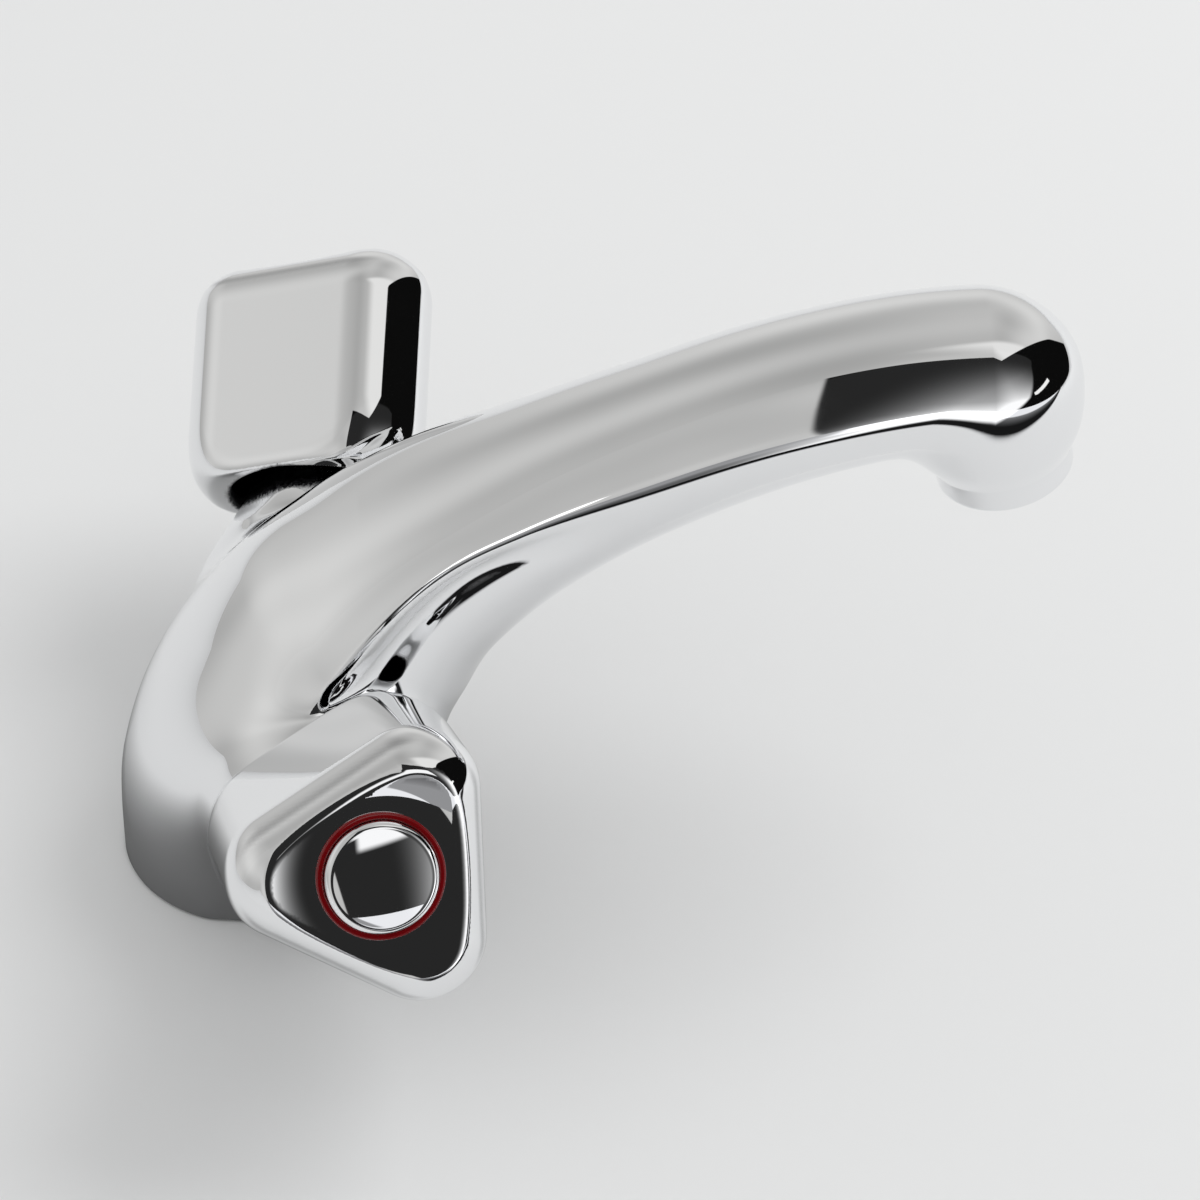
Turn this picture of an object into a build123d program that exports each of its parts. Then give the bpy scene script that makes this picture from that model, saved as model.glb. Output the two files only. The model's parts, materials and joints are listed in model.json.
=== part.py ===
"""Two-handle basin mixer tap: a cast body with a fixed spout, two ceramic headparts and three-lobed handles.

Millimetres, +Z up. The origin is the middle of the foot, on the deck. The spout points along -Y and the cold
handle is on the +X side. Each handle's pieces are placed by their distance from the point where the two
inclined handle axes meet, measured along that handle's axis.
"""

import os
from math import atan2, cos, hypot, pi, radians, sin, sqrt

from build123d import *

os.makedirs("parts", exist_ok=True)

# Foot and deck
foot_radius = 26.0
base_seal_width = 3.0
base_seal_height = 2.5
base_seal_squeeze = 0.5
foot_lip = 0.8
recess_radius = 20.5
recess_height = 12.0
deck_thickness = 20.0

# Spout
spout_reach = 146.6
outlet_height = 87.0
outlet_tilt = 12.0
spout_half_width = 18.5
edge_turn = 10.0
head_radius = 17.8
head_height = 39.2
head_boss_height = 24.0
body_wall = 3.2

# Handle axes
axes_forward = 9.5
axes_height = 20.6
axis_rise = 29.5
axis_lean = 6.2

# Necks and valve barrels
neck_radius = 17.0
neck_straight = 8.0
neck_cover = 5.5
barrel_radius = 9.0
barrel_length = 22.0
barrel_seal_height = 1.2
barrel_seal_width = 2.2
hex_across_flats = 22.0
hex_height = 5.0
guide_radius = 6.5
guide_length = 10.0
seat_seal_height = 1.8
seat_seal_width = 2.6
disc_radius = 7.0
disc_height = 2.5
disc_port_width = 4.0
barrel_window = 7.0
waterway_radius = 4.0
mixed_way_radius = 1.9
mixed_way_turn = 24.0
mixed_way_spread = 9.0
chamber_radius = 14.4
chamber_height = 8.0

# Spindles and their small pieces
spindle_radius = 4.0
driver_height = 3.0
dog_width = 2.0
dog_height = 1.4
spline_length = 11.0
spline_count = 20
spline_depth = 0.4
spindle_seal_height = 1.8
spindle_seal_depth = 0.9
circlip_height = 0.8
circlip_radius = 6.0
circlip_gap = 3.0
circlip_bite = 0.4
spline_relief = 1.0

# Handles
handle_crest = 104.0
opening_radius = 20.6
skirt_turn = 13.5
lobe_centre = 15.9
lobe_radius = 12.4
handle_wall = 2.0
rim_radius = 5.0
dish_lobe_centre = 11.8
dish_lobe_radius = 9.0
dish_depth = 3.6
top_plate = 2.4
boss_radius = 8.7
insert_radius = 6.5
insert_length = 10.0
screw_web = 3.0
screw_radius = 2.0
screw_length = 12.0
screw_head_radius = 3.6
screw_head_height = 2.4
screw_key = 2.5
ring_radius = 12.1
ring_width = 1.4
ring_height = 1.6
ring_proud = 0.6
ring_lip = 0.8
cap_dome = 3.4
cap_skirt = 2.0
cap_wall = 1.2
cap_room = 3.95

# Outlet
outlet_ring_radius = 13.5
outlet_ring_height = 6.0
outlet_lip = 0.9
outlet_thread_radius = 12.0
outlet_thread_length = 7.0
aerator_wall = 1.5
screen_height = 0.6
screen_inset = 1.2
screen_lip = 1.0
screen_pitch = 2.2
screen_hole = 1.5
screen_count = 5
flow_slots = 8
slot_width = 1.2
aerator_seal_height = 1.6
aerator_seal_width = 2.0
mouth_bore_length = 20.0
throat_radius = 9.0

# Underside fixing and inlets
stud_radius = 4.0
stud_back = 12.0
stud_grip = 14.0
stud_length = 76.0
clamp_radius = 25.0
clamp_slot_width = 31.0
clamp_slot_end = 3.5
clamp_gasket_height = 3.0
clamp_plate_height = 2.5
nut_across_flats = 13.0
nut_height = 12.0
inlet_spread = 10.0
inlet_radius = 4.5
inlet_length = 9.5

# Fits
thread_gap = 0.05
running_gap = 0.05
seat_gap = 0.02

SIDES = (("hot", -1), ("cold", 1))
outline_points = 24
section_points = 12
keel_start = radians(8)

# The casting's form in side view. Each station runs across it from a point on its back or top line to a point
# on its front or under line: back y and z, front y and z, half width of the top's turned-over edge, half width
# of the keel under it, then the edge's place above the front and the keel's drop below the edge in shares of
# the depth. The first rows are in foot radii, the others in the spout's reach and half width, and heights are in
# shares of the spout's top.
spout_top = outlet_height + head_height
column_form = (
    (0.996, 0.071, -1.046, 0.052, 0.986, 1.000, 0.59, 0.09),
    (0.923, 0.166, -1.112, 0.103, 0.985, 1.000, 0.60, 0.12),
    (0.800, 0.269, -1.212, 0.166, 0.978, 0.990, 0.65, 0.18),
    (0.531, 0.397, -1.344, 0.241, 0.985, 0.981, 0.72, 0.26),
    (0.294, 0.472, -1.452, 0.297, 1.050, 0.965, 0.72, 0.27),
    (0.096, 0.525, -1.542, 0.338, 1.075, 0.905, 0.70, 0.27),
)
spout_form = (
    (-0.022, 0.573, -0.293, 0.377, 1.373, 1.130, 0.68, 0.27),
    (-0.064, 0.618, -0.315, 0.414, 1.189, 1.038, 0.67, 0.24),
    (-0.125, 0.670, -0.348, 0.460, 1.086, 0.962, 0.69, 0.20),
    (-0.205, 0.724, -0.394, 0.511, 1.016, 0.924, 0.71, 0.16),
    (-0.301, 0.778, -0.455, 0.565, 0.990, 0.922, 0.71, 0.12),
    (-0.426, 0.840, -0.541, 0.626, 0.982, 0.926, 0.69, 0.10),
    (-0.547, 0.896, -0.631, 0.676, 0.984, 0.924, 0.66, 0.09),
    (-0.684, 0.949, -0.736, 0.722, 0.982, 0.919, 0.64, 0.08),
    (-0.824, 0.988, -0.845, 0.756, 0.973, 0.919, 0.61, 0.08),
    (-0.966, 1.001, -0.957, 0.776, 0.951, 0.919, 0.58, 0.08),
)
edge_lift = sin(radians(edge_turn)) / 2
foot_edge = foot_radius * cos(radians(edge_turn))
foot_station = (
    (foot_radius, base_seal_squeeze, -foot_radius, base_seal_squeeze)
    + (foot_edge, foot_radius, 0.5 + edge_lift, edge_lift)
)


def sized(form, across_deck, half_width):
    """The stations of a form, from its shares to millimetres."""
    units = (across_deck, spout_top, across_deck, spout_top, half_width, half_width, 1.0, 1.0)
    return [tuple(share * unit for share, unit in zip(row, units)) for row in form]


hollow_stations = sized(spout_form, spout_reach, spout_half_width)[:-1]
head_station = sized(spout_form, spout_reach, spout_half_width)[-1]
stations = [foot_station, *sized(column_form, foot_radius, foot_radius), *hollow_stations, head_station]


def finish(piece, label):
    piece.label = label
    export_step(piece, f"parts/{label}.step")


def body_section(station, inset=0.0):
    """The plane of a station, with the points of its top sheet and of its keel taken in by inset all round."""
    back_y, back_z, front_y, front_z, edge_width, keel_width, edge_share, drop_share = station
    depth = hypot(back_y - front_y, back_z - front_z)
    across = Vector(0, back_y - front_y, back_z - front_z) / depth
    middle = Vector(0, back_y + front_y, back_z + front_z) / 2
    plane = Plane(origin=middle, x_dir=(1, 0, 0), z_dir=Vector(1, 0, 0).cross(across))
    turn = radians(edge_turn)
    edge = depth * (edge_share - 0.5)
    arch_height = (depth / 2 - inset - edge) / (1 - sin(turn))
    arch_width = (edge_width - inset) / cos(turn)
    keel_middle = edge - depth * drop_share
    keel_depth = keel_middle + depth / 2 - inset
    upper = []
    keel = []
    for step in range(section_points + 1):
        angle = turn + (pi - 2 * turn) * step / section_points
        upper.append((arch_width * cos(angle), edge + arch_height * (sin(angle) - sin(turn))))
        angle = pi + keel_start + (pi - 2 * keel_start) * step / section_points
        keel.append(((keel_width - inset) * cos(angle), keel_middle + keel_depth * sin(angle)))
    return plane, upper, [upper[-1], *keel, upper[0]]


def axis_direction(side):
    rise, lean = radians(axis_rise), radians(axis_lean)
    return Vector(side * cos(rise) * cos(lean), -sin(lean), sin(rise) * cos(lean))


def side_plane(side, distance):
    """The plane square to one handle axis, its X towards the tap's back."""
    axis = axis_direction(side)
    origin = Vector(0, -axes_forward, axes_height) + axis * distance
    return Plane(origin=origin, x_dir=Vector(0, 1, 0) - axis * axis.Y, z_dir=axis)


def meridian_plane(side, distance):
    """A plane that holds the handle axis as its Y, for profiles that are turned about it."""
    flat = side_plane(side, distance)
    return Plane(origin=flat.origin, x_dir=flat.x_dir, z_dir=flat.x_dir.cross(flat.z_dir))


def lobed_points(centre, radius, roundness=0.0, round_radius=0.0):
    """A three-lobed outline, drawn towards a circle as roundness goes to 1."""
    join = atan2(radius * sin(pi / 3), centre + radius * cos(pi / 3))
    points = []
    for step in range(outline_points):
        angle = 2 * pi * step / outline_points
        off_lobe = abs((angle + pi / 3) % (2 * pi / 3) - pi / 3)
        if off_lobe < join:
            reach = centre * cos(off_lobe) + sqrt(radius**2 - (centre * sin(off_lobe)) ** 2)
        else:
            reach = (centre / 2 + radius) / cos(pi / 3 - off_lobe)
        reach += roundness * (round_radius - reach)
        points.append((reach * cos(angle), reach * sin(angle)))
    return points


# Distances along a handle axis that more than one piece uses, worked out from the handle's crest inwards
dish_floor = handle_crest - dish_depth
screw_seat = dish_floor - cap_skirt - cap_room - screw_head_height
spline_top = screw_seat - screw_web
insert_at = spline_top - insert_length
spline_at = spline_top - spline_length
circlip_at = spline_at - spline_relief - circlip_height
guide_top = circlip_at - running_gap
flange_at = guide_top - guide_length - hex_height
neck_end = flange_at - barrel_seal_height
handle_bottom = neck_end - neck_cover
seat_distance = neck_end - barrel_length - seat_seal_height
barrel_start = seat_distance + seat_seal_height / 2
fixed_disc_at = seat_distance + seat_seal_height
moving_disc_at = fixed_disc_at + disc_height + running_gap
driver_at = moving_disc_at + disc_height + running_gap
driver_top = driver_at + driver_height
spindle_seals_at = (driver_top + 5.0, driver_top + 9.0)
barrel_bore_radius = disc_radius + running_gap

# The casting: column and spout, head, two necks, and the water's way through them
outlet_axis = Vector(0, sin(radians(outlet_tilt)), cos(radians(outlet_tilt)))
outlet_origin = Vector(0, -spout_reach, outlet_height)


def outlet_plane(height):
    return Plane(origin=outlet_origin + outlet_axis * height, x_dir=(1, 0, 0), z_dir=outlet_axis)


head_profile_plane = Plane(origin=outlet_origin, x_dir=(1, 0, 0), z_dir=Vector(1, 0, 0).cross(outlet_axis))
mouth_radius = outlet_ring_radius + outlet_lip
head_plane, head_upper, head_lower = body_section(head_station)
# Each flared section of a neck: its share of the flared length, and how far it goes beyond the neck's radius
# behind, in front and above, in shares of that radius
neck_sections = (
    (0.19, 0.88, 0.26, 0.36),
    (0.50, 0.62, 0.18, 0.25),
    (0.75, 0.35, 0.08, 0.13),
    (1.00, 0.00, 0.00, 0.00),
)
flared_length = neck_end - neck_straight
passage_start = inlet_spread / axis_direction(1).X
hollow_base = body_section(hollow_stations[0])[0]
throat_start = body_section(hollow_stations[-2])[0].origin
throat_end = outlet_origin + outlet_axis * (outlet_ring_height + mouth_bore_length - throat_radius)

with BuildPart() as tap_body:
    for spine, inset, mode in ((stations, 0.0, Mode.ADD), (hollow_stations, body_wall, Mode.SUBTRACT)):
        for station in spine:
            plane, upper, lower = body_section(station, inset)
            with BuildSketch(plane):
                with BuildLine():
                    Spline(*upper)
                    Spline(*lower)
                make_face()
        loft(mode=mode)

    with BuildSketch(head_plane):
        with BuildLine():
            Spline(*head_upper)
            Spline(*head_lower)
        make_face()
        with Locations((-spout_half_width, 0)):
            Rectangle(2 * spout_half_width, 4 * spout_half_width, mode=Mode.SUBTRACT)
    revolve(axis=Axis(head_plane.origin, head_plane.y_dir))

    with BuildSketch(head_profile_plane):
        with BuildLine():
            Line((0, outlet_ring_height), (mouth_radius, outlet_ring_height))
            Spline(
                (mouth_radius, outlet_ring_height),
                (head_radius - 1.0, head_boss_height * 0.45),
                (head_radius, head_boss_height * 0.7),
                (head_radius - 2.0, head_boss_height),
            )
            Line((head_radius - 2.0, head_boss_height), (0, head_boss_height))
            Line((0, head_boss_height), (0, outlet_ring_height))
        make_face()
    revolve(axis=Axis(outlet_origin, outlet_axis))

    for _, side in SIDES:
        for share, behind, before, above in neck_sections:
            with BuildSketch(side_plane(side, flared_length * share)):
                with Locations((neck_radius * (behind - before) / 2, 0)):
                    Ellipse(neck_radius * (1 + (behind + before) / 2), neck_radius * (1 + above))
        loft()
        with BuildSketch(side_plane(side, flared_length)):
            Circle(neck_radius)
        extrude(amount=neck_straight)

    with BuildSketch(outlet_plane(outlet_ring_height)):
        Circle(outlet_thread_radius + thread_gap)
    extrude(amount=mouth_bore_length, mode=Mode.SUBTRACT)
    with BuildSketch(Plane(origin=throat_start, z_dir=throat_end - throat_start)):
        Circle(throat_radius)
    extrude(amount=(throat_end - throat_start).length, mode=Mode.SUBTRACT)

    with BuildSketch(Plane.XY):
        Circle(recess_radius)
    extrude(amount=recess_height, mode=Mode.SUBTRACT)
    with BuildSketch(Plane.XY):
        Circle(foot_radius - foot_lip)
        Circle(foot_radius - foot_lip - base_seal_width, mode=Mode.SUBTRACT)
    extrude(amount=base_seal_height, mode=Mode.SUBTRACT)
    with BuildSketch(Plane.XY.offset(recess_height)):
        with Locations((0, stud_back)):
            Circle(stud_radius + thread_gap)
    extrude(amount=stud_grip, mode=Mode.SUBTRACT)

    for _, side in SIDES:
        with BuildSketch(side_plane(side, seat_distance)):
            Circle(barrel_radius + thread_gap)
        extrude(amount=neck_end - seat_distance, mode=Mode.SUBTRACT)
        with BuildSketch(side_plane(side, moving_disc_at)):
            Circle(chamber_radius)
        extrude(amount=chamber_height, mode=Mode.SUBTRACT)
        with BuildSketch(side_plane(side, passage_start)):
            Circle(waterway_radius)
        extrude(amount=seat_distance - passage_start, mode=Mode.SUBTRACT)

        inlet_place = (side * inlet_spread, -axes_forward)
        with BuildSketch(Plane.XY.offset(recess_height)):
            with Locations(inlet_place):
                Circle(inlet_radius)
        extrude(amount=inlet_length, mode=Mode.SUBTRACT)
        with BuildSketch(Plane.XY.offset(recess_height + inlet_length)):
            with Locations(inlet_place):
                Circle(waterway_radius - 0.5)
        passage_height = side_plane(side, passage_start).origin.Z
        extrude(amount=passage_height - recess_height - inlet_length, mode=Mode.SUBTRACT)

        turn_plane = side_plane(side, mixed_way_turn)
        turn_offset = side * (chamber_radius + barrel_radius) / 2
        with BuildSketch(turn_plane):
            with Locations((0, turn_offset)):
                Circle(mixed_way_radius)
        extrude(amount=moving_disc_at + mixed_way_radius - mixed_way_turn, mode=Mode.SUBTRACT)
        turn = turn_plane.origin + turn_plane.y_dir * turn_offset
        hollow_entry = hollow_base.origin + Vector(side * mixed_way_spread, 0, 0) + hollow_base.z_dir
        with BuildSketch(Plane(origin=turn, z_dir=hollow_entry - turn)):
            Circle(mixed_way_radius)
        extrude(amount=(hollow_entry - turn).length, mode=Mode.SUBTRACT)
finish(tap_body.part, "tap_body")

# The rubber ring in the foot's groove, squeezed against the deck
with BuildPart() as base_seal:
    with BuildSketch(Plane.XY):
        Circle(foot_radius - foot_lip)
        Circle(foot_radius - foot_lip - base_seal_width, mode=Mode.SUBTRACT)
    extrude(amount=base_seal_height)
finish(base_seal.part, "base_seal")

# The threaded stud that pulls the foot down, and what clamps under the deck
stud_top = recess_height + stud_grip
with BuildPart() as fixing_stud:
    with BuildSketch(Plane.XY.offset(stud_top - stud_length)):
        with Locations((0, stud_back)):
            Circle(stud_radius)
    extrude(amount=stud_length)
    chamfer(fixing_stud.edges(), length=0.6)
finish(fixing_stud.part, "fixing_stud")

clamp_layers = (
    ("clamp_gasket", -deck_thickness, clamp_gasket_height),
    ("clamp_plate", -deck_thickness - clamp_gasket_height, clamp_plate_height),
)
for label, top, height in clamp_layers:
    with BuildPart() as clamp_layer:
        with BuildSketch(Plane.XY.offset(top - height)):
            Circle(clamp_radius)
            with Locations((0, clamp_slot_end - clamp_slot_width / 2)):
                Circle(clamp_slot_width / 2, mode=Mode.SUBTRACT)
            with Locations((0, clamp_slot_end - clamp_slot_width / 2 - clamp_radius)):
                Rectangle(clamp_slot_width, 2 * clamp_radius, mode=Mode.SUBTRACT)
            with Locations((0, stud_back)):
                Circle(stud_radius + 0.3, mode=Mode.SUBTRACT)
        extrude(amount=height)
    finish(clamp_layer.part, label)

nut_top = -deck_thickness - clamp_gasket_height - clamp_plate_height
with BuildPart() as fixing_nut:
    with BuildSketch(Plane.XY.offset(nut_top - nut_height)):
        with Locations((0, stud_back)):
            RegularPolygon(nut_across_flats / 2, 6, major_radius=False)
            Circle(stud_radius + thread_gap, mode=Mode.SUBTRACT)
    extrude(amount=nut_height)
finish(fixing_nut.part, "fixing_nut")

# The outlet: a threaded chrome ring, its rubber seal, the plastic flow insert and the wire screen
cage_radius = outlet_thread_radius - aerator_wall
thread_top = outlet_ring_height + outlet_thread_length
with BuildPart() as aerator_housing:
    with BuildSketch(outlet_plane(0)):
        Circle(outlet_ring_radius)
    extrude(amount=outlet_ring_height)
    fillet(aerator_housing.edges().sort_by(Axis(outlet_origin, outlet_axis))[0], radius=0.8)
    with BuildSketch(outlet_plane(outlet_ring_height)):
        Circle(outlet_thread_radius)
    extrude(amount=outlet_thread_length)
    with BuildSketch(outlet_plane(0)):
        Circle(cage_radius - screen_lip)
    extrude(amount=screen_inset, mode=Mode.SUBTRACT)
    with BuildSketch(outlet_plane(screen_inset)):
        Circle(cage_radius)
    extrude(amount=thread_top - screen_inset, mode=Mode.SUBTRACT)
finish(aerator_housing.part, "aerator_housing")

with BuildPart() as aerator_screen:
    with BuildSketch(outlet_plane(screen_inset)):
        Circle(cage_radius - seat_gap)
        with GridLocations(screen_pitch, screen_pitch, screen_count, screen_count):
            Rectangle(screen_hole, screen_hole, mode=Mode.SUBTRACT)
    extrude(amount=screen_height)
finish(aerator_screen.part, "aerator_screen")

insert_start = screen_inset + screen_height
with BuildPart() as aerator_insert:
    with BuildSketch(outlet_plane(insert_start)):
        Circle(cage_radius - seat_gap)
        with PolarLocations(cage_radius * 0.6, flow_slots):
            Rectangle(cage_radius * 0.5, slot_width, mode=Mode.SUBTRACT)
    extrude(amount=thread_top - insert_start)
finish(aerator_insert.part, "aerator_insert")

with BuildPart() as aerator_seal:
    with BuildSketch(outlet_plane(thread_top)):
        Circle(outlet_thread_radius)
        Circle(outlet_thread_radius - aerator_seal_width, mode=Mode.SUBTRACT)
    extrude(amount=aerator_seal_height)
finish(aerator_seal.part, "aerator_seal")

# The pieces of each side, from the valve seat outwards
for name, side in SIDES:
    valve_axis = Axis(side_plane(side, 0).origin, axis_direction(side))

    # The rubber ring between the neck's seat and the fixed disc
    with BuildPart() as seat_seal:
        with BuildSketch(side_plane(side, seat_distance)):
            Circle(disc_radius)
            Circle(disc_radius - seat_seal_width, mode=Mode.SUBTRACT)
        extrude(amount=seat_seal_height)
    finish(seat_seal.part, f"{name}_seat_seal")

    # The fixed ceramic disc, with a port each side of its middle
    with BuildPart() as fixed_disc:
        with BuildSketch(side_plane(side, fixed_disc_at)):
            Circle(disc_radius)
            with Locations((-disc_radius / 2, 0), (disc_radius / 2, 0)):
                SlotOverall(disc_port_width * 1.5, disc_port_width / 2, rotation=90, mode=Mode.SUBTRACT)
        extrude(amount=disc_height)
    finish(fixed_disc.part, f"{name}_fixed_disc")

    # The moving disc, with ports that meet the fixed ones after a quarter turn and a pocket for the spindle's dog
    with BuildPart() as moving_disc:
        with BuildSketch(side_plane(side, moving_disc_at)):
            Circle(disc_radius - running_gap)
            with Locations((0, -disc_radius / 2), (0, disc_radius / 2)):
                SlotOverall(disc_port_width * 1.5, disc_port_width / 2, mode=Mode.SUBTRACT)
        extrude(amount=disc_height)
        with BuildSketch(side_plane(side, moving_disc_at + disc_height - dog_height)):
            Rectangle(2 * dog_width + 2 * running_gap, dog_width + 2 * running_gap)
        extrude(amount=dog_height, mode=Mode.SUBTRACT)
    finish(moving_disc.part, f"{name}_moving_disc")

    # The brass barrel, screwed into the neck, with side windows, a hexagon and a guide for the spindle
    with BuildPart() as valve_barrel:
        with BuildSketch(side_plane(side, barrel_start)):
            Circle(barrel_radius)
        extrude(amount=flange_at - barrel_start)
        with BuildSketch(side_plane(side, flange_at)):
            RegularPolygon(hex_across_flats / 2, 6, major_radius=False)
        extrude(amount=hex_height)
        with BuildSketch(side_plane(side, flange_at + hex_height)):
            Circle(guide_radius)
        extrude(amount=guide_length)
        with BuildSketch(side_plane(side, barrel_start)):
            Circle(barrel_bore_radius)
        extrude(amount=driver_top + running_gap - barrel_start, mode=Mode.SUBTRACT)
        with BuildSketch(side_plane(side, driver_at)):
            Rectangle(3 * barrel_radius, barrel_window)
        extrude(amount=driver_height, mode=Mode.SUBTRACT)
        with BuildSketch(side_plane(side, driver_top)):
            Circle(spindle_radius + running_gap)
        extrude(amount=guide_top - driver_top, mode=Mode.SUBTRACT)
    finish(valve_barrel.part, f"{name}_valve_barrel")

    # The flat ring that seals the barrel's hexagon to the neck
    with BuildPart() as barrel_seal:
        with BuildSketch(side_plane(side, neck_end)):
            Circle(barrel_radius + barrel_seal_width)
            Circle(barrel_radius + thread_gap, mode=Mode.SUBTRACT)
        extrude(amount=barrel_seal_height)
    finish(barrel_seal.part, f"{name}_barrel_seal")

    # The spindle: a dog and driver for the moving disc, two seal grooves, a circlip groove and a splined end
    with BuildPart() as spindle:
        with BuildSketch(side_plane(side, driver_at - dog_height)):
            Rectangle(2 * dog_width, dog_width)
        extrude(amount=dog_height)
        with BuildSketch(side_plane(side, driver_at)):
            Circle(disc_radius - running_gap)
            with Locations((0, -disc_radius), (0, disc_radius)):
                Circle(disc_port_width, mode=Mode.SUBTRACT)
        extrude(amount=driver_height)
        with BuildSketch(side_plane(side, driver_top)):
            Circle(spindle_radius)
        extrude(amount=spline_top - driver_top)
        for groove_at in spindle_seals_at:
            with BuildSketch(side_plane(side, groove_at)):
                Circle(spindle_radius + 1)
                Circle(spindle_radius - spindle_seal_depth, mode=Mode.SUBTRACT)
            extrude(amount=spindle_seal_height, mode=Mode.SUBTRACT)
        with BuildSketch(side_plane(side, circlip_at)):
            Circle(spindle_radius + 1)
            Circle(spindle_radius - circlip_bite, mode=Mode.SUBTRACT)
        extrude(amount=circlip_height, mode=Mode.SUBTRACT)
        with BuildSketch(side_plane(side, spline_at)):
            with PolarLocations(spindle_radius, spline_count):
                Circle(spline_depth, mode=Mode.ADD)
        extrude(amount=spline_length, mode=Mode.SUBTRACT)
        with BuildSketch(side_plane(side, spline_top)):
            Circle(screw_radius)
        extrude(amount=screw_web - screw_length, mode=Mode.SUBTRACT)
    finish(spindle.part, f"{name}_spindle")

    # Two rubber rings in the spindle's grooves
    with BuildPart() as spindle_seals:
        for groove_at in spindle_seals_at:
            with BuildSketch(side_plane(side, groove_at)):
                Circle(spindle_radius + running_gap / 2)
                Circle(spindle_radius - spindle_seal_depth, mode=Mode.SUBTRACT)
            extrude(amount=spindle_seal_height)
    finish(spindle_seals.part, f"{name}_spindle_seals")

    # The open steel ring that keeps the spindle in its barrel
    with BuildPart() as circlip:
        with BuildSketch(side_plane(side, circlip_at)):
            Circle(circlip_radius)
            Circle(spindle_radius - circlip_bite, mode=Mode.SUBTRACT)
            with Locations((circlip_radius, 0)):
                Rectangle(2 * circlip_radius - 2, circlip_gap, mode=Mode.SUBTRACT)
        extrude(amount=circlip_height)
    finish(circlip.part, f"{name}_circlip")

    # The plastic sleeve that carries the handle on the spindle's splines
    with BuildPart() as spline_insert:
        with BuildSketch(side_plane(side, insert_at)):
            Circle(insert_radius)
            Circle(spindle_radius, mode=Mode.SUBTRACT)
        extrude(amount=insert_length)
    finish(spline_insert.part, f"{name}_spline_insert")

    # The handle: a three-lobed cup whose skirt closes in to a round opening, with a dished face and a boss inside
    with BuildPart() as handle:
        skirt_top = handle_bottom + skirt_turn
        for inset, mode in ((0.0, Mode.ADD), (handle_wall, Mode.SUBTRACT)):
            for share in (0.0, 0.2, 0.5, 1.0):
                roundness = (1 - share) ** 2
                outline = lobed_points(lobe_centre, lobe_radius - inset, roundness, opening_radius - inset)
                with BuildSketch(side_plane(side, handle_bottom + share * skirt_turn)):
                    with BuildLine():
                        Spline(*outline, periodic=True)
                    make_face()
            loft(mode=mode)
            if mode == Mode.ADD:
                with BuildSketch(side_plane(side, skirt_top)):
                    with BuildLine():
                        Spline(*lobed_points(lobe_centre, lobe_radius), periodic=True)
                    make_face()
                extrude(amount=handle_crest - skirt_top)
                fillet(handle.faces().sort_by(valve_axis)[-1].edges(), radius=rim_radius)
            else:
                with BuildSketch(side_plane(side, skirt_top)):
                    with BuildLine():
                        Spline(*lobed_points(lobe_centre, lobe_radius - handle_wall), periodic=True)
                    make_face()
                extrude(amount=dish_floor - top_plate - skirt_top, mode=Mode.SUBTRACT)
        with BuildSketch(side_plane(side, insert_at)):
            Circle(boss_radius)
        extrude(amount=dish_floor - insert_at)
        with BuildSketch(side_plane(side, insert_at)):
            Circle(insert_radius)
        extrude(amount=insert_length, mode=Mode.SUBTRACT)
        with BuildSketch(side_plane(side, spline_top)):
            Circle(screw_radius + thread_gap)
        extrude(amount=screw_web, mode=Mode.SUBTRACT)
        with BuildSketch(side_plane(side, screw_seat)):
            Circle(screw_head_radius + 2 * seat_gap)
        extrude(amount=handle_crest - screw_seat, mode=Mode.SUBTRACT)
        with BuildSketch(side_plane(side, dish_floor - cap_skirt)):
            Circle(ring_radius - ring_width)
        extrude(amount=cap_skirt, mode=Mode.SUBTRACT)
        with BuildSketch(side_plane(side, dish_floor + ring_proud - ring_height)):
            Circle(ring_radius)
        extrude(amount=ring_height, mode=Mode.SUBTRACT)
        for height, centre_share, radius in (
            (dish_floor, 0.0, ring_radius + ring_lip),
            (dish_floor + dish_depth / 2, 0.6, dish_lobe_radius + 1.5),
            (handle_crest + 0.1, 1.0, dish_lobe_radius),
        ):
            with BuildSketch(side_plane(side, height)):
                with BuildLine():
                    Spline(*lobed_points(dish_lobe_centre * centre_share, radius), periodic=True)
                make_face()
        loft(mode=Mode.SUBTRACT)
    finish(handle.part, f"{name}_handle")

    # The screw under the cap, through the handle into the spindle
    with BuildPart() as handle_screw:
        with BuildSketch(side_plane(side, screw_seat - screw_length)):
            Circle(screw_radius)
        extrude(amount=screw_length)
        with BuildSketch(side_plane(side, screw_seat)):
            Circle(screw_head_radius)
        extrude(amount=screw_head_height)
        with BuildSketch(side_plane(side, screw_seat + screw_head_height)):
            RegularPolygon(screw_key / 2, 6, major_radius=False)
        extrude(amount=-screw_head_height / 2, mode=Mode.SUBTRACT)
    finish(handle_screw.part, f"{name}_handle_screw")

    # The coloured ring round the cap
    with BuildPart() as index_ring:
        with BuildSketch(side_plane(side, dish_floor + ring_proud - ring_height)):
            Circle(ring_radius)
            Circle(ring_radius - ring_width, mode=Mode.SUBTRACT)
        extrude(amount=ring_height)
    finish(index_ring.part, f"{name}_index_ring")

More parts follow.
